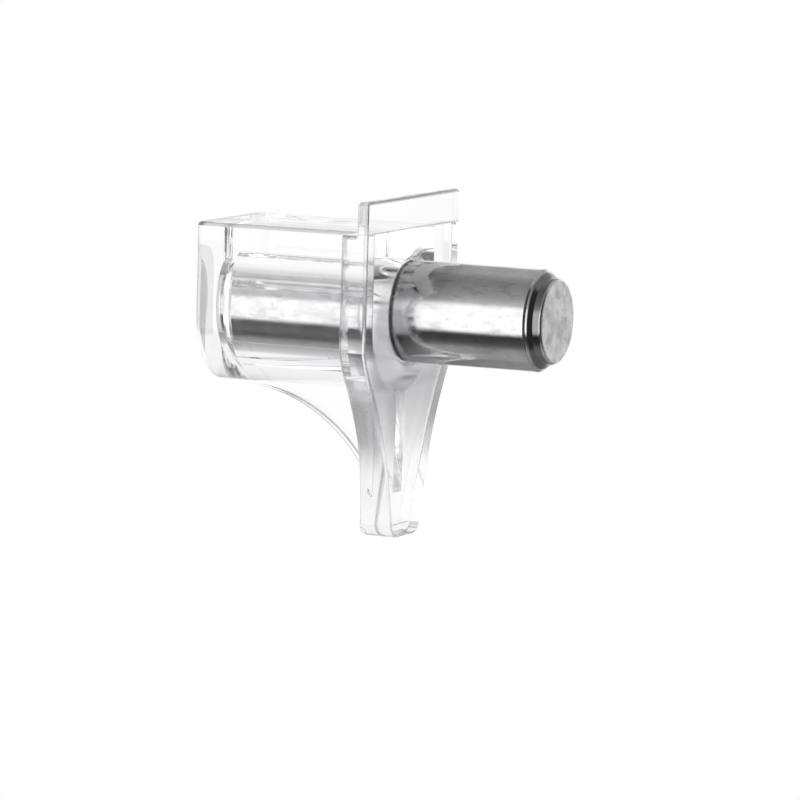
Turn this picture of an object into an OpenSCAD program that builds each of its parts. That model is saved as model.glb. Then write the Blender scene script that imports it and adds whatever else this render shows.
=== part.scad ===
// Shelf support pin: a clear moulded support body on a plain 5 mm steel pin.
// X runs along the pin towards its free tip, Z is up, and the origin lies on
// the pin's axis in the face that rests against the cabinet side.
// All sizes are in millimetres.

/* [Steel pin] */
// diameter of the pin, for the 5 mm holes of a system cabinet
pin_d = 5; // [4:0.1:5.4]
// how far the pin stands out of the cabinet face
pin_reach = 7.75; // [5:0.25:12]
// width of the bevel at each end of the pin
bevel_w = 0.4; // [0.2:0.05:0.6]
// length of the short nose beyond each bevel
nose_len = 0.35; // [0.25:0.05:0.6]
// radius of the edge round the flat of each nose
nose_edge_r = 0.2; // [0.05:0.01:0.24]
// width of the shallow groove that parts the held end from the free end
groove_w = 0.6; // [0.55:0.05:1]
// depth of that groove
groove_d = 0.03; // [0.02:0.01:0.06]

/* [Bore for the pin] */
// radial clearance between the pin and its blind bore
bore_clear = 0.03; // [0.01:0.01:0.1]
// free space between the pin's inner end and the floor of the bore
floor_clear = 0.05; // [0.02:0.01:0.2]
// width of the bevel round the mouth of the bore
mouth_bevel = 0.2; // [0.05:0.05:0.35]
// wall between the floor of the bore and the block's free end
end_wall = 0.85; // [0.5:0.05:1.5]

/* [Shelf block] */
// length of the support from the cabinet face to its free end
block_len = 10.15; // [9.6:0.05:14]
// width of the block under the shelf
block_w = 7; // [6.2:0.1:9]
// height of the shelf seat above the pin's axis
seat_z = 4; // [3.2:0.1:5]
// depth of the block's rounded underside below the pin's axis
belly_z = 4; // [3.4:0.1:5]
// radius of the two upright edges at the block's free end
end_edge_r = 0.4; // [0.1:0.05:0.8]

/* [Cabinet plate] */
// width of the plate behind the block
plate_w = 10.8; // [9.8:0.1:11]
// thickness of the plate below the shelf seat
plate_t = 1.4; // [1:0.1:2]
// height of the stop that stands up behind the shelf's edge
stop_h = 1.65; // [0.8:0.05:4]
// thickness of that stop
stop_t = 0.55; // [0.4:0.05:0.9]
// radius of the plate's rounded shoulders, about the pin's axis
shoulder_r = 5.65; // [5.55:0.05:6]

/* [Leg] */
// depth of the leg's foot below the pin's axis
leg_z = 11.05; // [10:0.05:14]
// half width of the leg at the centres of its foot's round corners
leg_half_w = 1.72; // [1.4:0.02:2.2]
// radius of the hollow flanks between the shoulders and the leg
flank_r = 18; // [14:0.5:24]
// radius of the foot's two lower corners
foot_r = 0.8; // [0.4:0.05:1.1]
// how much thicker than the plate the leg is at its foot
leg_flare = 0.35; // [0.1:0.05:0.8]
// radius of the long edge under the foot, on the side away from the cabinet
foot_edge_r = 0.3; // [0.1:0.05:0.5]

/* [Rib] */
// thickness of the rib between the block and the leg
rib_t = 1; // [0.6:0.1:2]
// radius of the rib's hollow edge
rib_r = 8.2; // [7.7:0.1:9]
// length of the rib along the block, measured from the plate
rib_run = 7.7; // [7:0.1:8.2]
// height of the rib at its thin end
rib_lip = 0.1; // [0.05:0.05:0.3]

/* [Hidden] */
$fn = 120;
pin_r = pin_d / 2;
bore_depth = block_len - end_wall;
pin_back = bore_depth - floor_clear;
pin_len = pin_back + pin_reach;
nose_r = pin_r - bevel_w;
end_len = bevel_w + nose_len;
// radius of the groove's round bottom, seen in the pin's section
groove_r = (pow(groove_w / 2, 2) + pow(groove_d, 2)) / (2 * groove_d);
bore_r = pin_r + bore_clear;
mouth_r = bore_r + mouth_bevel;
belly_r = block_w / 2;
stop_z = seat_z + stop_h;
leg_t = plate_t + leg_flare;
// overlap where two outlines blend into each other
blend = 0.002;
// overlap of solids that are joined, and excess of shapes that cut
lap = 0.5;
// centre of the foot's round corner, and its distance from the pin's axis
corner = [leg_half_w - foot_r, foot_r - leg_z];
corner_far = norm(corner);
// centre of a hollow flank, which touches both the shoulder and that corner
flank_far = shoulder_r + flank_r - blend;
flank_near = foot_r + flank_r - blend;
flank_along = (pow(flank_far, 2) - pow(flank_near, 2) + pow(corner_far, 2)) / (2 * corner_far);
flank_across = sqrt(pow(flank_far, 2) - pow(flank_along, 2));
flank = (flank_along * corner + flank_across * [-corner[1], corner[0]]) / corner_far;
// points where the flank leaves the shoulder and reaches the foot's corner
flank_top = flank * shoulder_r / flank_far;
flank_foot = corner + (flank - corner) * foot_r / flank_near;

// Outline of the plate with its shoulders, leg and foot, seen along the pin:
// the first axis of the drawing is the object's Y, the second its Z.
module plate_outline() {
    translate([-plate_w / 2, 0])
        square([plate_w, stop_z]);
    intersection() {
        circle(r = shoulder_r);
        translate([-plate_w / 2, -shoulder_r])
            square([plate_w, shoulder_r + lap]);
    }
    difference() {
        polygon([
            [-flank_top[0], flank_top[1]],
            [-flank_foot[0], flank_foot[1]],
            flank_foot,
            flank_top
        ]);
        for (side = [-1, 1])
            translate([side * flank[0], flank[1]])
                circle(r = flank_r);
    }
    for (side = [-1, 1])
        translate([side * corner[0], corner[1]])
            circle(r = foot_r);
    translate([-corner[0], -leg_z])
        square([2 * corner[0], foot_r + lap]);
}

// Profile of the plate seen from the side, with the thin stop above the seat
// and the leg that thickens towards its foot: the first axis is X.
module plate_profile() {
    polygon([
        [0, stop_z],
        [-stop_t, stop_z],
        [-stop_t, seat_z],
        [-plate_t, seat_z],
        [-plate_t, -shoulder_r],
        [-leg_t, foot_edge_r - leg_z],
        [foot_edge_r - leg_t, foot_edge_r - leg_z],
        [foot_edge_r - leg_t, -leg_z],
        [0, -leg_z]
    ]);
    translate([foot_edge_r - leg_t, foot_edge_r - leg_z])
        circle(r = foot_edge_r);
}

// Cabinet plate with stop, shoulders and leg: the outline and the profile
// are drawn out at right angles to each other, and the plate is their overlap.
module cabinet_plate() {
    intersection() {
        translate([-leg_t - lap, 0, 0])
            rotate([90, 0, 90])
                linear_extrude(height = leg_t + 2 * lap)
                    plate_outline();
        translate([0, shoulder_r + lap, 0])
            rotate([90, 0, 0])
                linear_extrude(height = 2 * (shoulder_r + lap))
                    plate_profile();
    }
}

// Outline of the block seen from above, with round corners at its free end.
module block_plan() {
    translate([end_edge_r - block_len, -belly_r])
        square([block_len - plate_t + lap - end_edge_r, block_w]);
    translate([-block_len, end_edge_r - belly_r])
        square([end_edge_r + lap, block_w - 2 * end_edge_r]);
    for (side = [-1, 1])
        translate([end_edge_r - block_len, side * (belly_r - end_edge_r)])
            circle(r = end_edge_r);
}

// Block that carries the shelf: flat on top, with a half-round underside.
module shelf_block() {
    intersection() {
        translate([-block_len - lap, 0, 0])
            rotate([90, 0, 90])
                linear_extrude(height = block_len + lap)
                    union() {
                        translate([0, belly_r - belly_z])
                            circle(r = belly_r);
                        translate([-belly_r, belly_r - belly_z])
                            square([block_w, seat_z + belly_z - belly_r]);
                    }
        translate([0, 0, -belly_z - lap])
            linear_extrude(height = seat_z + belly_z + 2 * lap)
                block_plan();
    }
}

// Rib under the block, with a hollow edge that sweeps down to the leg.
module rib() {
    arc_x = -plate_t - rib_run;
    arc_z = -belly_z - rib_lip - rib_r;
    translate([0, rib_t / 2, 0])
        rotate([90, 0, 0])
            linear_extrude(height = rib_t)
                difference() {
                    translate([arc_x, corner[1]])
                        square([rib_run + plate_t / 2, lap - belly_z - corner[1]]);
                    translate([arc_x, arc_z])
                        circle(r = rib_r);
                }
}

// Blind bore that takes the pin, bevelled at its mouth.
module pin_bore() {
    translate([-bore_depth, 0, 0])
        rotate([0, 90, 0])
            cylinder(r = bore_r, h = bore_depth + lap);
    translate([-mouth_bevel, 0, 0])
        rotate([0, 90, 0])
            cylinder(r1 = bore_r, r2 = mouth_r + lap, h = mouth_bevel + lap);
}

module support_body() {
    color([0.9, 0.92, 0.94, 0.35])
        difference() {
            union() {
                cabinet_plate();
                shelf_block();
                rib();
            }
            pin_bore();
        }
}

// Half section of the pin, from its axis outwards: each end has a bevel and a
// short nose with a rounded edge, and a shallow groove lies just inside the bore.
module pin_section() {
    difference() {
        polygon([
            [0, 0],
            [nose_r, 0],
            [nose_r, nose_len],
            [pin_r, end_len],
            [pin_r, pin_len - end_len],
            [nose_r, pin_len - nose_len],
            [nose_r, pin_len],
            [0, pin_len]
        ]);
        for (tip = [0, pin_len])
            difference() {
                translate([nose_r - nose_edge_r, tip - nose_edge_r])
                    square([2 * nose_edge_r, 2 * nose_edge_r]);
                translate([nose_r - nose_edge_r, abs(tip - nose_edge_r)])
                    circle(r = nose_edge_r);
            }
        translate([pin_r - groove_d + groove_r, pin_back - groove_w / 2])
            circle(r = groove_r);
    }
}

// Plain steel pin, turned round its own axis and pushed into the body.
module steel_pin() {
    color([0.78, 0.78, 0.79])
        translate([-pin_back, 0, 0])
            rotate([0, 90, 0])
                rotate_extrude()
                    pin_section();
}

support_body();
steel_pin();
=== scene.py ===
import math

import bmesh
import bpy
import numpy as np
from mathutils import Matrix, Vector


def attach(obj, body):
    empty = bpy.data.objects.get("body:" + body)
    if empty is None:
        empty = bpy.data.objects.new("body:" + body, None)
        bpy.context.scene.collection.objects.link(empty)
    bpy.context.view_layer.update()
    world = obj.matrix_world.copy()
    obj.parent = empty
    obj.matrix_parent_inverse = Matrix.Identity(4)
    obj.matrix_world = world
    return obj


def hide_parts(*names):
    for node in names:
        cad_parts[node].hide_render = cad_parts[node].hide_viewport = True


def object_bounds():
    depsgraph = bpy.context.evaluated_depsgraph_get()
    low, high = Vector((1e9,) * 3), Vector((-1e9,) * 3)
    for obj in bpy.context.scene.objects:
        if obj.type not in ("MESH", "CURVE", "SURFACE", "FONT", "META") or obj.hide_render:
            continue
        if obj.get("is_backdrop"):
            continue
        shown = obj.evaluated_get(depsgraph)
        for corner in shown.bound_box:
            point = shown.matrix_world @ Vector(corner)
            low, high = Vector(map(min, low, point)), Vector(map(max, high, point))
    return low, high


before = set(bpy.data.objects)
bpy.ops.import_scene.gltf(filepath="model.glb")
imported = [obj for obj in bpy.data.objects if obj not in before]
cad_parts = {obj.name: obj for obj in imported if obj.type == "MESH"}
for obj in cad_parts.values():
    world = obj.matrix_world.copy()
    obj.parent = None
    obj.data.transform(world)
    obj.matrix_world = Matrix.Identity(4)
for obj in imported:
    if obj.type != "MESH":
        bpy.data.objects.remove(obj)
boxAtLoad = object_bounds()
print("frame loaded:", ", ".join(sorted(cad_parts)))

toMetres = 0.001  # shapes, and the places of marks on them, are worked out in millimetres
mergeDistance = 0.00001  # points closer than this become one


class Signal:
    # one value in a node tree, so that shader maths reads as plain expressions
    def __init__(self, bench, socket):
        self.bench, self.socket = bench, socket

    def maths(self, operation, first, second):
        return self.bench.node("Math", {"operation": operation}, {0: first, 1: second})

    def __add__(self, other):
        return self.maths("ADD", self, other)

    def __radd__(self, other):
        return self.maths("ADD", other, self)

    def __sub__(self, other):
        return self.maths("SUBTRACT", self, other)

    def __rsub__(self, other):
        return self.maths("SUBTRACT", other, self)

    def __mul__(self, other):
        return self.maths("MULTIPLY", self, other)

    def __rmul__(self, other):
        return self.maths("MULTIPLY", other, self)

    def __truediv__(self, other):
        return self.maths("DIVIDE", self, other)

    def __rtruediv__(self, other):
        return self.maths("DIVIDE", other, self)

    def __pow__(self, other):
        return self.maths("POWER", self, other)

    def __rpow__(self, other):
        return self.maths("POWER", other, self)

    def __neg__(self):
        return self.maths("MULTIPLY", -1, self)

    def most(self, other):
        return self.maths("MAXIMUM", self, other)

    def bearing(self, across):
        # direction of the point (across, self), in radians
        return self.maths("ARCTAN2", self, across)

    def rise(self, span):
        # 0 up to the span's start, 1 from its end on, with a soft turn at both
        sockets = {"Value": self, "From Min": span[0], "From Max": span[1]}
        return self.bench.node("MapRange", {"interpolation_type": "SMOOTHSTEP"}, sockets)

    def fall(self, span):
        return 1 - self.rise(span)


class NodeBench:
    # makes and feeds the nodes of one material or of the world
    def __init__(self, tree):
        self.tree = tree

    def feed(self, made, sockets):
        for key, value in sockets.items():
            if isinstance(value, Signal):
                self.tree.links.new(value.socket, made.inputs[key])
            else:
                made.inputs[key].default_value = value

    def node(self, kind, settings=None, sockets=None, output=0):
        made = self.tree.nodes.new("ShaderNode" + kind)
        for key, value in (settings or {}).items():
            if key == "stops":
                ramp = made.color_ramp.elements
                while len(ramp) < len(value):
                    ramp.new(0.5)
                for stop, (place, colour) in zip(ramp, value):
                    stop.position, stop.color = place, colour
            else:
                setattr(made, key, value)
        self.feed(made, sockets or {})
        return Signal(self, made.outputs[output])

    def axes(self, vector):
        split = self.node("SeparateXYZ", {}, {0: vector})
        return [Signal(self, socket) for socket in split.socket.node.outputs]

    def mixColour(self, factor, first, second):
        return self.node("Mix", {"data_type": "RGBA"}, {0: factor, 6: first, 7: second}, output=2)

    def noise(self, place, scale, detail, roughness=0.5):
        # cloudy values round 0.5; three numbers as scale draw them out along the axes
        if isinstance(scale, tuple):
            place, scale = self.node("Mapping", {}, {"Vector": place, "Scale": scale}), 1
        sockets = {"Vector": place, "Scale": scale, "Detail": detail, "Roughness": roughness}
        return self.node("TexNoise", {}, sockets)


def arc(centre, radius, startDeg, endDeg, steps):
    # point(t) = centre + radius * (cos t, sin t), t from startDeg to endDeg
    t = np.radians(np.linspace(startDeg, endDeg, steps + 1))
    return np.stack([centre[0] + radius * np.cos(t), centre[1] + radius * np.sin(t)], 1)


def bearing(centre, point):
    # direction of the point as seen from the centre, in degrees
    return math.degrees(math.atan2(point[1] - centre[1], point[0] - centre[0]))


def turned(profile, steps):
    # ring(s) = circle of radius r(s) about the X axis, for each (x, r) of profile
    t = np.linspace(0, 2 * np.pi, steps, endpoint=False)
    x, r = profile[:, 0][:, None], profile[:, 1][:, None]
    return np.stack([np.repeat(x, steps, 1), r * np.cos(t), r * np.sin(t)], -1)


def cleaned(mesh, flatDeg=None):
    # doubles merged, flat areas joined where asked for, normals outwards
    work = bmesh.new()
    work.from_mesh(mesh)
    bmesh.ops.remove_doubles(work, verts=work.verts, dist=mergeDistance)
    if flatDeg:
        bmesh.ops.dissolve_limit(
            work, angle_limit=math.radians(flatDeg), verts=work.verts, edges=work.edges)
        openEdges = sum(not edge.is_manifold for edge in work.edges)
        print("flat areas joined, open edges:", openEdges)
    bmesh.ops.recalc_face_normals(work, faces=work.faces)
    work.to_mesh(mesh)
    work.free()


def ringSolid(name, rings):
    # rings[i, j] = point j of cross-section i: neighbours become quads, and the
    # first and last rings are closed by one flat face each
    rows, cols = rings.shape[:2]
    i, j = np.meshgrid(np.arange(rows - 1), np.arange(cols), indexing="ij")
    start, end = i * cols + j, i * cols + (j + 1) % cols
    faces = np.stack([start, end, end + cols, start + cols], -1).reshape(-1, 4).tolist()
    faces.append(list(range(cols))[::-1])
    faces.append(list(range((rows - 1) * cols, rows * cols)))
    mesh = bpy.data.meshes.new(name)
    mesh.from_pydata(rings.reshape(-1, 3).tolist(), [], faces)
    cleaned(mesh)
    piece = bpy.data.objects.new(name, mesh)
    bpy.context.scene.collection.objects.link(piece)
    return piece


def applied(piece):
    # the piece's modifiers become its mesh
    graph = bpy.context.evaluated_depsgraph_get()
    mesh = bpy.data.meshes.new_from_object(piece.evaluated_get(graph))
    piece.modifiers.clear()
    piece.data = mesh


def combined(piece, other, operation):
    change = piece.modifiers.new(operation.lower(), "BOOLEAN")
    change.operation, change.solver, change.object = operation, "EXACT", other
    applied(piece)
    bpy.data.objects.remove(other)


def smoothed(piece, creaseDeg):
    # even shading across flat faces and their rounded edges, then metres
    mesh = piece.data
    mesh.polygons.foreach_set("use_smooth", np.ones(len(mesh.polygons), bool))
    mesh.set_sharp_from_angle(angle=math.radians(creaseDeg))
    even = piece.modifiers.new("even normals", "WEIGHTED_NORMAL")
    even.keep_sharp, even.weight, even.mode = True, 100, "FACE_AREA"
    applied(piece)
    piece.data.transform(Matrix.Scale(toMetres, 4))
    piece.data.update()


moulding = {
    "blockLength": 10.15, "blockWidth": 7.0, "seatHeight": 4.0, "bellyDepth": 4.0,
    "endFrontRadius": 0.4, "endBackRadius": 0.7, "endBellyRadius": 0.2,
    "bellySteps": 64, "endSteps": 10,
    "plateWidth": 10.8, "plateThickness": 1.4, "stopHeight": 1.65, "stopThickness": 0.55,
    "shoulderRadius": 5.65, "shoulderSteps": 10, "flankRadius": 18.0, "flankSteps": 26,
    "legDepth": 11.05, "legHalfWidth": 1.72, "legFlare": 0.35, "flareEase": 0.3,
    "footRadius": 0.8, "footSteps": 14, "footEdgeRadius": 0.3, "footEdgeStepDeg": 10,
    "closestRows": 0.004,
    "ribThickness": 1.0, "ribRadius": 8.2, "ribRun": 7.7, "ribLip": 0.1, "ribSteps": 40,
    "boreRadius": 2.53, "boreDepth": 9.3, "boreBevel": 0.4, "boreNeck": 0.37,
    "mouthBevel": 0.2, "boreSteps": 128,
    "overlap": 0.5,  # how far solids that are joined or cut reach into each other
    "edgeRadius": 0.18, "faceEdgeRadius": 0.16, "cornerFillet": 0.08, "edgeSegments": 4,
    "legEdgeShare": 0.55, "legEdgeFrom": -5.0, "legEdgeTo": -9.0,
    "smoothFoldDeg": 15, "fullFoldDeg": 55,  # between these the rounding grows to full size
    "ribEdgeStart": 0.16, "ribEdgeGrowth": 0.4, "ribFoot": -8.7, "ribFootFade": 0.8,
    "nearby": 0.05,  # an edge this close to a feature belongs to it
    "flatDeg": 0.08, "creaseDeg": 40,
}


def plateOutline(p):
    # w(z) = half width of the plate below its straight sides, along the arcs of
    # the shoulder, the hollow flank and the foot's corner, each touching the next
    half, shoulder, footRadius = p["plateWidth"] / 2, p["shoulderRadius"], p["footRadius"]
    corner = np.array([p["legHalfWidth"] - footRadius, footRadius - p["legDepth"]])
    far = np.hypot(*corner)
    toShoulder, toCorner = shoulder + p["flankRadius"], footRadius + p["flankRadius"]
    along = (toShoulder**2 - toCorner**2 + far**2) / (2 * far)
    across = math.sqrt(toShoulder**2 - along**2)
    flank = (along * corner + across * np.array([-corner[1], corner[0]])) / far
    shoulderTop = (half, -math.sqrt(shoulder**2 - half**2))
    touchTop = flank * shoulder / toShoulder
    touchFoot = corner + (flank - corner) * footRadius / toCorner
    outline = np.concatenate([
        arc((0, 0), shoulder, bearing((0, 0), shoulderTop), bearing((0, 0), touchTop),
            p["shoulderSteps"]),
        arc(flank, p["flankRadius"], bearing(flank, touchTop) % 360,
            bearing(flank, touchFoot) % 360, p["flankSteps"])[1:],
    ])
    cornerDeg = np.linspace(bearing(corner, touchFoot), -90, p["footSteps"] + 1)[1:]
    edgeDeg = np.arange(0, 90, p["footEdgeStepDeg"])
    footRows = np.sort(np.concatenate([
        corner[1] + footRadius * np.sin(np.radians(cornerDeg)),
        p["footEdgeRadius"] - p["legDepth"] - p["footEdgeRadius"] * np.sin(np.radians(edgeDeg)),
    ]))[::-1]
    z = np.concatenate([outline[:, 1], footRows])
    z = z[np.concatenate([[True], np.abs(np.diff(z)) > p["closestRows"]])]
    z[-1] = -p["legDepth"]
    width = np.interp(-z, -outline[:, 1], outline[:, 0])
    foot = z < touchFoot[1]
    width[foot] = corner[0] + np.sqrt(np.maximum(footRadius**2 - (z[foot] - corner[1])**2, 0))
    return z, width


def plateDepth(p, z):
    # t(z) = thickness, which grows evenly down the leg after a short parabola and
    # ends in a quarter circle under the foot
    footTop, ease, edge = p["footEdgeRadius"] - p["legDepth"], p["flareEase"], p["footEdgeRadius"]
    down = np.clip((z + p["shoulderRadius"]) / (footTop + p["shoulderRadius"]), 0, 1)
    grown = np.where(down < ease, down**2 / (2 * ease), down - ease / 2)
    t = p["plateThickness"] + p["legFlare"] * grown / (1 - ease / 2)
    under = z < footTop
    t[under] += np.sqrt(np.maximum(edge**2 - (z[under] - footTop)**2, 0)) - edge
    return t


def plateRings(p):
    # ring(z) = rectangle of half width w(z), from the flat face x = 0 back to
    # x = -t(z); the first two rings are the thin stop above the seat
    z, w = plateOutline(p)
    z = np.concatenate([[p["seatHeight"] + p["stopHeight"], p["seatHeight"], p["seatHeight"]], z])
    w = np.concatenate([[p["plateWidth"] / 2] * 3, w])
    t = plateDepth(p, z)
    t[:2] = p["stopThickness"]
    zero, stop = np.zeros_like(z), np.full_like(z, p["stopThickness"])
    x = -np.stack([zero, zero, stop, t, t, stop], 1)
    y = np.stack([w, -w, -w, -w, w, w], 1)
    return np.stack([x, y, np.repeat(z[:, None], 6, 1)], -1)


def blockRings(p):
    # ring(x) = flat top, upright sides and half-round belly; towards the free end
    # the sides and the belly draw in along quarter circles of their own radii
    half = p["blockWidth"] / 2
    middle = half - p["bellyDepth"]
    belly = arc((0, middle), half, 0, -180, p["bellySteps"])
    outline = np.concatenate([[[half, p["seatHeight"]]], belly, [[-half, p["seatHeight"]]]])
    front, back, under = p["endFrontRadius"], p["endBackRadius"], p["endBellyRadius"]
    quarter = 1 - np.cos(np.radians(np.linspace(0, 90, p["endSteps"] + 1)))
    depth = np.unique(np.round(np.concatenate([r * quarter for r in (front, back, under)]), 5))
    insidePlate = -(p["plateThickness"] + p["stopThickness"]) / 2
    x = np.concatenate([depth - p["blockLength"], [insidePlate]])

    def share(r):
        # what is left of the half width where a rounding of radius r draws it in
        fromEdge = np.maximum(r - (x + p["blockLength"]), 0)
        return (1 - (r - np.sqrt(np.maximum(r**2 - fromEdge**2, 0))) / half)[:, None]

    y = np.where(outline[:, 0] < 0, outline[:, 0] * share(front), outline[:, 0] * share(back))
    low = np.minimum(outline[:, 1] - middle, 0) * share(under)
    z = middle + low + np.maximum(outline[:, 1] - middle, 0)
    return np.stack([np.repeat(x[:, None], len(outline), 1), y, z], -1)


def ribRings(p):
    # ring(y) = outline between the block, the hollow arc and the leg
    radius = p["ribRadius"]
    centre = (-p["plateThickness"] - p["ribRun"], -p["bellyDepth"] - p["ribLip"] - radius)
    low = p["footRadius"] - p["legDepth"]
    endDeg = math.degrees(math.asin((low - centre[1]) / radius))
    hollow = arc(centre, radius, 90, endDeg, p["ribSteps"])
    inside, top = -p["plateThickness"] / 2, p["overlap"] - p["bellyDepth"]
    outline = np.concatenate([hollow, [[inside, low], [inside, top], [centre[0], top]]])
    y = np.array([-0.5, 0.5]) * p["ribThickness"]
    x, z = (np.repeat(outline[:, k][None], 2, 0) for k in (0, 1))
    return np.stack([x, np.repeat(y[:, None], len(outline), 1), z], -1)


def boreRings(p):
    # ring(x) = circle of the bore's radius, narrower at its floor, wider at its mouth
    neck, floor, past = p["boreRadius"] - p["boreBevel"], -p["boreDepth"], p["overlap"]
    profile = np.array([
        [floor, neck],
        [floor + p["boreNeck"], neck],
        [floor + p["boreNeck"] + p["boreBevel"], p["boreRadius"]],
        [-p["mouthBevel"], p["boreRadius"]],
        [past, p["boreRadius"] + p["mouthBevel"] + past],
    ])
    return turned(profile, p["boreSteps"])


def edgeKinds(mesh):
    # per edge: angle between its two faces, whether the fold is hollow, middle point
    loopEdge, sizes = np.zeros(len(mesh.loops), int), np.zeros(len(mesh.polygons), int)
    mesh.loops.foreach_get("edge_index", loopEdge)
    mesh.polygons.foreach_get("loop_total", sizes)
    normals, centres = np.zeros((len(sizes), 3)), np.zeros((len(sizes), 3))
    mesh.polygons.foreach_get("normal", normals.ravel())
    mesh.polygons.foreach_get("center", centres.ravel())
    points, ends = np.zeros((len(mesh.vertices), 3)), np.zeros((len(mesh.edges), 2), int)
    mesh.vertices.foreach_get("co", points.ravel())
    mesh.edges.foreach_get("vertices", ends.ravel())
    faceOfLoop = np.repeat(np.arange(len(sizes)), sizes)
    first, second = faceOfLoop[np.argsort(loopEdge, kind="stable")].reshape(-1, 2).T
    turn = np.clip((normals[first] * normals[second]).sum(1), -1, 1)
    middle = points[ends].mean(1)
    hollow = (normals[first] * (centres[second] - middle)).sum(1) > 0
    return np.degrees(np.arccos(turn)), hollow, middle


def edgeWeights(p, mesh):
    # share of edgeRadius per edge: none on smooth folds and in the bore, less in
    # hollow corners, on the cabinet face and down the leg, and fading out at the
    # rib's thin end and at its foot
    angle, hollow, middle = edgeKinds(mesh)
    x, y, z = middle.T
    near, edge = p["nearby"], p["edgeRadius"]
    weight = np.where(hollow, p["cornerFillet"], edge) / edge
    weight[(x > -near) & ~hollow] = p["faceEdgeRadius"] / edge
    weight *= np.interp(angle, [p["smoothFoldDeg"], p["fullFoldDeg"]], [0, 1])
    weight *= np.interp(z, [p["legEdgeTo"], p["legEdgeFrom"]], [p["legEdgeShare"], 1])
    inBore = np.hypot(y, z) < p["boreRadius"] + p["mouthBevel"] + near
    weight[inBore & (x > -p["boreDepth"] - near)] = 0
    beside, behind = np.abs(y) < p["ribThickness"] / 2 + near, x < -p["plateThickness"]
    drop = -p["bellyDepth"] - z
    onRib = beside & behind & (drop > -near)
    weight[onRib] *= np.clip((drop[onRib] - p["ribEdgeStart"]) / p["ribEdgeGrowth"], 0, 1)
    lowRib = beside & (x < -p["plateThickness"] / 2)
    weight[lowRib] *= np.clip((z[lowRib] - p["ribFoot"]) / p["ribFootFade"], 0, 1)
    return weight


def buildMoulding(p):
    piece = ringSolid("clearMoulding", plateRings(p))
    combined(piece, ringSolid("block", blockRings(p)), "UNION")
    combined(piece, ringSolid("rib", ribRings(p)), "UNION")
    combined(piece, ringSolid("bore", boreRings(p)), "DIFFERENCE")
    cleaned(piece.data, p["flatDeg"])
    weights = piece.data.attributes.new("bevel_weight_edge", "FLOAT", "EDGE")
    weights.data.foreach_set("value", edgeWeights(p, piece.data).astype(np.float32))
    rounding = piece.modifiers.new("edges", "BEVEL")
    rounding.width, rounding.segments = p["edgeRadius"], p["edgeSegments"]
    rounding.limit_method, rounding.miter_outer = "WEIGHT", "MITER_ARC"
    rounding.use_clamp_overlap = False
    # the rounded faces take the second slot for a moment, and keep that as an attribute
    for _ in range(2):
        piece.data.materials.append(None)
    rounding.material = 1
    applied(piece)
    slots = np.zeros(len(piece.data.polygons), np.int32)
    piece.data.polygons.foreach_get("material_index", slots)
    marks = piece.data.attributes.new("roundedEdge", "FLOAT", "FACE")
    marks.data.foreach_set("value", slots.astype(np.float32))
    piece.data.polygons.foreach_set("material_index", np.zeros_like(slots))
    smoothed(piece, p["creaseDeg"])
    return piece


plate = buildMoulding(moulding)
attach(plate, "root")
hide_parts("support_body")
print("clear moulding:", len(plate.data.vertices), "points")

steelPin = {
    "radius": 2.5, "reach": 7.75, "back": 9.25, "noseEdge": 0.2, "noseSteps": 8, "capShare": 0.6,
    "shoulders": [(0.42, 2.1), (0.62, 2.34), (0.71, 2.38), (0.81, 2.5)],  # depth, radius
    "shankFrom": 1.2, "worn": 0.04, "wornSteps": 3,
    "grooveWidth": 0.6, "grooveDepth": 0.03, "grooveSteps": 8,
    "roundSteps": 128, "creaseDeg": 30,
}


def eased(points, reach, steps):
    # each inner corner c becomes (1 - t)^2 a + 2 t (1 - t) c + t^2 b, with a and b
    # on its two sides, reach away from it at most
    before, corner, after = points[:-2], points[1:-1], points[2:]

    def onSide(end):
        share = np.minimum(0.5, reach / np.linalg.norm(end - corner, axis=1))[:, None]
        return (corner + (end - corner) * share)[:, None]

    t = np.linspace(0, 1, steps + 1)[None, :, None]
    curve = ((1 - t)**2 * onSide(before) + 2 * t * (1 - t) * corner[:, None]
             + t**2 * onSide(after))
    return np.concatenate([points[:1], curve.reshape(-1, 2), points[-1:]])


def pinProfile(p):
    # r(x): flat nose with a rounded edge, short neck, stepped bevel, shank with
    # its shallow groove, and the same again at the other end
    r, edge, reach = p["radius"], p["noseEdge"], p["reach"]
    neck = p["shoulders"][0][1]
    bevel = np.array([[reach - along, radius] for along, radius in p["shoulders"]])
    corner = arc((reach - edge, neck - edge), edge, 0, 90, p["noseSteps"])
    steps = np.concatenate([corner[-1:], bevel, [[reach - p["shankFrom"], r]]])
    tip = np.concatenate([
        [[reach, p["capShare"] * neck]], corner, eased(steps, p["worn"], p["wornSteps"])[1:]])
    half = p["grooveWidth"] / 2
    hollow = (half**2 + p["grooveDepth"]**2) / (2 * p["grooveDepth"])
    swing = math.degrees(math.asin(half / hollow))
    middle = (-half, r - p["grooveDepth"] + hollow)
    groove = arc(middle, hollow, -90 + swing, -90 - swing, p["grooveSteps"])
    back = tip[::-1] * [-1, 1] + [reach - p["back"], 0]
    return np.concatenate([tip, groove, back])


pin = ringSolid("steelPin", turned(pinProfile(steelPin), steelPin["roundSteps"]))
smoothed(pin, steelPin["creaseDeg"])
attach(pin, "root")
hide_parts("steel_pin")
print("steel pin:", len(pin.data.vertices), "points")


def newFinish(name, piece):
    # an empty material on the piece, with its shader's node bench
    finish = bpy.data.materials.new(name)
    finish.use_nodes = True
    piece.data.materials.clear()
    piece.data.materials.append(finish)
    return NodeBench(finish.node_tree), finish.node_tree.nodes["Principled BSDF"]


def inMillimetres(bench, place):
    return [axis / toMetres for axis in bench.axes(place)]


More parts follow.
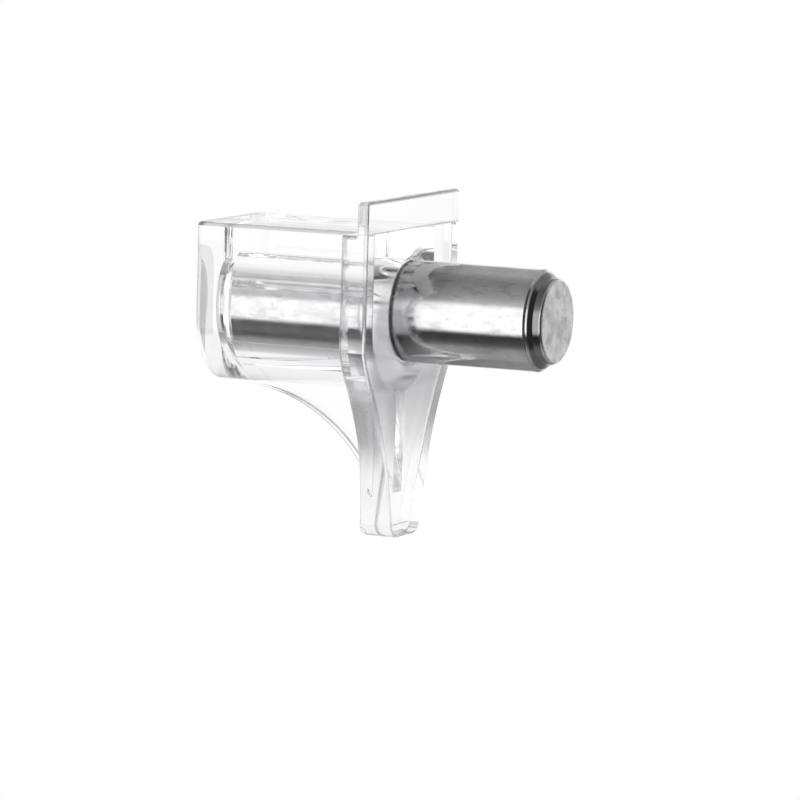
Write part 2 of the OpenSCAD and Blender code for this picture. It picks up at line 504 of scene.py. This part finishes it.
clearPlastic = {
    "tint": (0.98, 0.98, 0.985, 1), "deepTint": (0.95, 0.95, 0.965, 1), "refraction": 1.59,
    "edgeShadeTint": (0.5, 0.5, 0.51, 1), "endEdgeShadeTint": (0.05, 0.05, 0.055, 1),
    "endShadeTint": (0.66, 0.66, 0.675, 1), "cornerShadeTint": (0.12, 0.12, 0.125, 1),
    "shadeTint": (0.38, 0.38, 0.395, 1), "shade": 0.75, "mouthShade": 1.0,
    "scuff": 0.05, "boreFloorMatt": 0.55, "edgeMatt": 0.25, "legEdgeMatt": 0.35,
    "legHaze": 0.09, "shadeHaze": 0.24, "mouthHaze": 0.24, "mouthSlant": 0.4,
    "endTintPower": 6, "endTintRim": (0.9, 1.1), "lowCornerShare": 0.35, "legEdgeShadeShare": 0.6,
    # noises are given as scale and detail, and heights in millimetres
    "cloudNoise": (160, 3), "cloud": (0.35, 0.7), "legClear": 0.8,
    "wearNoise": (700, 6), "wear": (0.62, 0.75),
    "waveNoise": ((90, 420, 420), 2), "waveHeight": 0.001,
    "peelNoise": (2600, 2), "peelHeight": 0.0001,
    # the rest is where each mark starts and ends, in millimetres
    "boreFloor": [(-9.34, -9.31), (-9.29, -9.26)], "boreFloorRadius": (2.45, 2.5),
    "plateBack": (-2.05, -1.85), "faceBack": (-0.4, -0.15), "legTop": (-4.8, -3.2),
    "shadeTop": (-3.6, -2.4), "shadeFoot": (-8.4, -5.6), "shadeFootRise": 1.8,
    "mouthReach": (3.6, 5.0), "mouthFoot": (-4.6, -3.4),
    "mouthHazeTop": (1.8, 2.8), "mouthShadeTop": (0.2, 0.7),
    "endEdges": (-9.8, -9.5), "endTintLength": 1.08, "endTintHeight": 2.9,
    "endTintSide": (-3.4, -3.3), "cornerDepth": (-10.03, -9.98), "cornerSide": (3.1, 3.3),
    "cornerTop": (2.0, 3.2), "topStripDepth": (-9.7, -9.5), "topStripFrom": (3.8, 3.9),
    "legEdgeSide": (0.5, 1.0),
}


def dressPlastic(piece, p, shape):
    bench, shader = newFinish("clearPlastic", piece)
    place = bench.node("TexCoord", output="Object")
    x, y, z = inMillimetres(bench, place)
    fromAxis = (y * y + z * z)**0.5
    cloud, wear, wave, peel = (
        bench.noise(place, *p[key])
        for key in ("cloudNoise", "wearNoise", "waveNoise", "peelNoise"))

    onEdge = bench.node("Attribute", {"attribute_name": "roundedEdge"}, output="Fac")
    floorStart, floorEnd = p["boreFloor"]
    boreFloor = x.rise(floorStart) * x.fall(floorEnd) * fromAxis.fall(p["boreFloorRadius"])
    onPlate, onFace = x.rise(p["plateBack"]), x.rise(p["faceBack"])
    onLeg = onPlate * z.fall(p["legTop"])
    underBore = z.fall(p["shadeTop"]) * (z - p["shadeFootRise"] * onFace).rise(p["shadeFoot"])
    shade = onPlate * underBore
    mouthEdge = (fromAxis + p["mouthSlant"] * z).fall(p["mouthReach"])
    nearMouth = onFace * mouthEdge * z.rise(p["mouthFoot"])
    mouthShade = p["mouthShade"] * nearMouth * z.fall(p["mouthShadeTop"])
    mouthHaze = p["mouthHaze"] * nearMouth * z.fall(p["mouthHazeTop"])

    # painted shade: a grey D-shaped area at the block's free end stands for the shade seen
    # through it there; it lies inside (along / length)^6 + (up / height)^6 = 1 on the front side
    along = ((x + shape["blockLength"]) / p["endTintLength"])**p["endTintPower"]
    up = (z / p["endTintHeight"])**p["endTintPower"]
    endShadeArea = (along + up).fall(p["endTintRim"]) * y.fall(p["endTintSide"])
    # painted shade: near black lines at the block's free end, down its upright corners (fainter
    # low down) and along the border of its top face, standing for the dark lines refraction draws
    # there
    side = [edge**2 for edge in p["cornerSide"]]
    share = p["lowCornerShare"] + (1 - p["lowCornerShare"]) * z.rise(p["cornerTop"])
    shadedCorner = x.fall(p["cornerDepth"]) * (y * y).rise(side) * share
    shadedTopStrip = x.fall(p["topStripDepth"]) * z.rise(p["topStripFrom"])

    tone = bench.mixColour(
        cloud.rise(p["cloud"]) * (1 - p["legClear"] * onLeg), p["tint"], p["deepTint"])
    tone = bench.mixColour(endShadeArea, tone, p["endShadeTint"])
    tone = bench.mixColour(shadedCorner.most(shadedTopStrip), tone, p["cornerShadeTint"])
    tone = bench.mixColour((p["shade"] * shade).most(mouthShade), tone, p["shadeTint"])
    # painted shade: the rounded edges are darkened to stand for the dark lines that refraction
    # draws along them. They are near black at the block's free end, and only one side of the leg
    # keeps part of it.
    edgeShadeTone = bench.mixColour(x.fall(p["endEdges"]), p["edgeShadeTint"], p["endEdgeShadeTint"])
    legEdgeShadeShare = p["legEdgeShadeShare"] * y.rise(p["legEdgeSide"])
    edgeShaded = onEdge * (1 - onLeg * (1 - legEdgeShadeShare))

    rough = p["scuff"] * wear.rise(p["wear"]) + p["boreFloorMatt"] * boreFloor
    rough = rough.most((p["edgeMatt"] + p["legEdgeMatt"] * onLeg) * onEdge)
    rough = rough.most(p["legHaze"] * onLeg).most(p["shadeHaze"] * shade).most(mouthHaze)
    broad = bench.node("Bump", {}, {
        "Height": wave, "Strength": 1, "Distance": p["waveHeight"] * toMetres})
    fine = bench.node("Bump", {}, {
        "Height": peel, "Strength": 1, "Distance": p["peelHeight"] * toMetres, "Normal": broad})
    bench.feed(shader, {
        "Base Color": bench.mixColour(edgeShaded, tone, edgeShadeTone), "Roughness": rough, "Normal": fine,
        "IOR": p["refraction"], "Transmission Weight": 1.0,
    })


dressPlastic(plate, clearPlastic, moulding)

brightSteel = {
    "tone": (0.84, 0.84, 0.845, 1), "stainTone": (0.74, 0.74, 0.745, 1),
    "fleckTone": (0.6, 0.6, 0.605, 1), "bevelShadeTone": (0.3, 0.3, 0.305, 1),
    "mouthShadeTone": (0.46, 0.46, 0.465, 1), "shadedTone": (0.36, 0.36, 0.365, 1),
    "rimShadowTone": (0.1, 0.1, 0.1, 1),
    "polish": 0.06, "smear": 0.10, "endMatt": 0.42,
    # noises are given as scale, detail and roughness, and heights in millimetres
    "blotchNoise": (900, 5, 0.6), "stain": (0.4, 0.65),
    "dentNoise": (420, 3, 0.55), "dentHeight": 0.01, "endDentShare": 0.2,
    "drawnNoise": ((400, 9000, 9000), 3), "drawnHeight": 0.0006,
    "fleckNoise": ((1100, 3600, 3600), 4), "fleck": (0.52, 0.66), "fleckShow": 0.7,
    # the rest is where each mark starts and ends, in millimetres
    "endFace": (-0.04, -0.01), "bevel": [(7.05, 7.15), (7.6, 7.68)],
    "outside": (-0.2, 0.1), "rim": [(-0.2, 0.0), (0.04, 0.2)],
    "ragged": 4.0, "mouthTo": (0.4, 2.2),
    "upper": (0.3, 1.1), "upperTo": (0.4, 4.2), "lower": (-2.0, -1.4), "lowerTo": (1.2, 5.2),
}


def dressSteel(piece, p, shape):
    bench, shader = newFinish("brightSteel", piece)
    place = bench.node("TexCoord", output="Object")
    x, y, z = inMillimetres(bench, place)
    blotch, dents, drawn, flecks = (
        bench.noise(place, *p[key])
        for key in ("blotchNoise", "dentNoise", "drawnNoise", "fleckNoise"))

    endFace = (x - shape["reach"]).rise(p["endFace"])
    ragged, outside = x + (blotch - 0.5) * p["ragged"], x.rise(p["outside"])
    upper = z.rise(p["upper"]) * ragged.fall(p["upperTo"])
    lower = z.fall(p["lower"]) * ragged.fall(p["lowerTo"])
    onBevel, atRimShadow = (x.rise(start) * x.fall(end) for start, end in (p["bevel"], p["rim"]))
    stain = blotch.rise(p["stain"])

    tone = bench.mixColour(stain, p["tone"], p["stainTone"])
    tone = bench.mixColour(flecks.rise(p["fleck"]) * p["fleckShow"], tone, p["fleckTone"])
    # painted shade: the tip's bevel and neck are darkened, standing for the dark ring they
    # reflect
    tone = bench.mixColour(onBevel, tone, p["bevelShadeTone"])
    # painted shade: the pin is darker, with a ragged edge, for about its first two millimetres
    # out of the bore
    tone = bench.mixColour(ragged.fall(p["mouthTo"]) * outside, tone, p["mouthShadeTone"])
    tone = bench.mixColour(upper.most(lower) * outside, tone, p["shadedTone"])
    drawnMarks = drawn * (1 - endFace) * (p["drawnHeight"] * toMetres)
    dentMarks = dents * (1 - (1 - p["endDentShare"]) * endFace) * (p["dentHeight"] * toMetres)
    relief = bench.node("Bump", {}, {
        "Height": drawnMarks + dentMarks, "Strength": 1, "Distance": 1})
    # painted shadow: the pin is near black in a thin ring at the bore's mouth, standing for the
    # shadowed gap there
    bench.feed(shader, {
        "Base Color": bench.mixColour(atRimShadow, tone, p["rimShadowTone"]), "Normal": relief,
        "Roughness": p["polish"] + p["smear"] * stain + p["endMatt"] * endFace,
        "Metallic": 1.0,
    })


dressSteel(pin, brightSteel, steelPin)
print("finishes: clear plastic, bright steel")

studio = {
    "floorDepth": 0.12, "floorReach": 4.0, "floorColour": (0.8, 0.8, 0.8, 1),
    "floorRoughness": 0.9, "floorGlow": 0.6, "pool": (0.15, 0.5), "backdrop": (1, 1, 1, 1),
    # brightness of the panels round the pin's direction, by angle in degrees:
    # 0 faces the object's front, 90 is overhead, 180 the backdrop, -90 the table
    "panels": [
        (-180, 1), (-162, 1), (-150, 0.277), (-126, 0.277), (-111, 0.269), (-100, 0.347),
        (-89, 0.37), (-71, 0.308), (-63, 0.131), (-55, 0.077), (-47, 0.0539), (-38, 0.0539),
        (-34, 0.347), (-31, 0.847), (-27, 1.23), (-20, 1.31), (22, 1.31), (28, 1.1), (35, 0.554),
        (41, 0.477), (48, 0.37), (56, 0.323), (71, 0.269), (87, 0.231), (96, 0.246), (106, 0.293),
        (117, 0.393), (146, 0.4), (158, 0.477), (166, 1), (180, 1),
    ],
    # the same for what shines through the plastic, which sees more of the white backdrop
    "through": [
        (-180, 1.0), (-124, 1.0), (-118, 0.62), (-107, 0.43), (-90, 0.25), (-84, 0.08),
        (-79, 0.02), (-57, 0.0), (-53, 0.08), (-50, 0.5), (-47, 1.0), (-43, 1.31), (22, 1.31),
        (28, 1.1), (35, 0.75), (41, 0.62), (56, 0.62), (71, 0.68), (94, 0.92), (115, 1.0),
        (180, 1.0),
    ],
    # the two ends of the room, by how far a direction leans to that side
    "left": (0.5, 0.62), "leftFront": 0.75, "leftBack": 1.45, "frontToBack": (-0.5, 0.05),
    "right": (0.7, 0.8), "rightLight": 0.06,
    "bounces": 24, "glossyBounces": 16,
}


def layFloor(p):
    # one large square that keeps the object's shadow and turns white further out
    reach, depth = p["floorReach"], -p["floorDepth"]
    corners = np.array([(-1, -1), (1, -1), (1, 1), (-1, 1)]) * reach
    mesh = bpy.data.meshes.new("floor")
    mesh.from_pydata([(x, y, depth) for x, y in corners.tolist()], [], [(0, 1, 2, 3)])
    floor = bpy.data.objects.new("floor", mesh)
    bpy.context.scene.collection.objects.link(floor)
    # metal and plastic show the studio's white instead of it
    floor.visible_glossy = floor.visible_transmission = False
    floor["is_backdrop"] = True
    bench, shader = newFinish("paleFloor", floor)
    x, y, z = bench.axes(bench.node("TexCoord", output="Object"))
    far = ((x * x + y * y)**0.5).rise(p["pool"])
    bench.feed(shader, {
        "Base Color": p["floorColour"], "Roughness": p["floorRoughness"],
        "Specular IOR Level": 0.0})
    cameraRay = bench.node("LightPath", output="Is Camera Ray")
    glow = bench.node(
        "Emission", {}, {"Color": p["backdrop"], "Strength": cameraRay * p["floorGlow"]})
    backdrop = bench.node("Emission", {}, {"Color": p["backdrop"], "Strength": 1})
    near = bench.node("AddShader", {}, {0: Signal(bench, shader.outputs[0]), 1: glow})
    shown = bench.node("MixShader", {}, {0: far, 1: near, 2: backdrop})
    bench.feed(bench.tree.nodes["Material Output"], {"Surface": shown})


def lightStudio(p):
    world = bpy.data.worlds.new("studio")
    bpy.context.scene.world = world
    world.use_nodes = True
    bench = NodeBench(world.node_tree)
    x, y, z = bench.axes(bench.node("TexCoord", output="Generated"))
    turn = z.bearing(-y) / (2 * math.pi) + 0.5
    around = {}
    for name in ("panels", "through"):
        stops = [(angle / 360 + 0.5, (light, light, light, 1)) for angle, light in p[name]]
        around[name] = bench.axes(bench.node("ValToRGB", {"stops": stops}, {"Fac": turn}))[0]
    throughRay = bench.node("LightPath", output="Is Transmission Ray")
    cameraRay = bench.node("LightPath", output="Is Camera Ray")
    light = around["panels"] + (around["through"] - around["panels"]) * throughRay
    leftLight = p["leftFront"] + (p["leftBack"] - p["leftFront"]) * y.rise(p["frontToBack"])
    light = light + (leftLight - light) * (-x).rise(p["left"])
    rightLight = p["rightLight"] + (1 - p["rightLight"]) * throughRay
    light = light + (rightLight - light) * x.rise(p["right"])
    shown = light + (1 - light) * cameraRay
    grey = bench.node("CombineXYZ", {}, {0: shown, 1: shown, 2: shown})
    bench.feed(bench.tree.nodes["Background"], {"Color": grey})


layFloor(studio)
lightStudio(studio)

viewpoint = {
    "azimuth": 24.4140, "elevation": 6.7116, "roll": 1.6360, "distance": 300.0,
    "lens": 276.87, "sensor": 36, "clip": (0.01, 50), "aside": 0.571, "below": 4.3416,
}


def placeCamera(p):
    # stands at the viewpoint's distance from the pin's axis, moved aside and below
    # in its own plane
    a, e, roll = (math.radians(p[key]) for key in ("azimuth", "elevation", "roll"))
    back = Vector((math.sin(a) * math.cos(e), -math.cos(a) * math.cos(e), math.sin(e)))
    flat = Vector((math.cos(a), math.sin(a), 0))
    right = flat * math.cos(roll) + back.cross(flat) * math.sin(roll)
    up = back.cross(right)
    lens = bpy.data.cameras.new("camera")
    lens.lens, lens.sensor_width = p["lens"], p["sensor"]
    lens.clip_start, lens.clip_end = p["clip"]
    camera = bpy.data.objects.new("camera", lens)
    bpy.context.scene.collection.objects.link(camera)
    place = (back * p["distance"] - right * p["aside"] - up * p["below"]) * toMetres
    axes = Matrix((right, up, back)).transposed().to_4x4()
    camera.matrix_world = Matrix.Translation(place) @ axes
    bpy.context.scene.camera = camera


placeCamera(viewpoint)
scene = bpy.context.scene
scene.view_settings.view_transform = "Standard"
scene.cycles.max_bounces = scene.cycles.transmission_bounces = studio["bounces"]
scene.cycles.glossy_bounces = studio["glossyBounces"]
print("studio and camera ready")

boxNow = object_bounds()
for name, box in (("solids", boxAtLoad), ("dressed", boxNow)):
    print(name, "box in mm:", *(np.round(np.array(end) / toMetres, 3).tolist() for end in box))
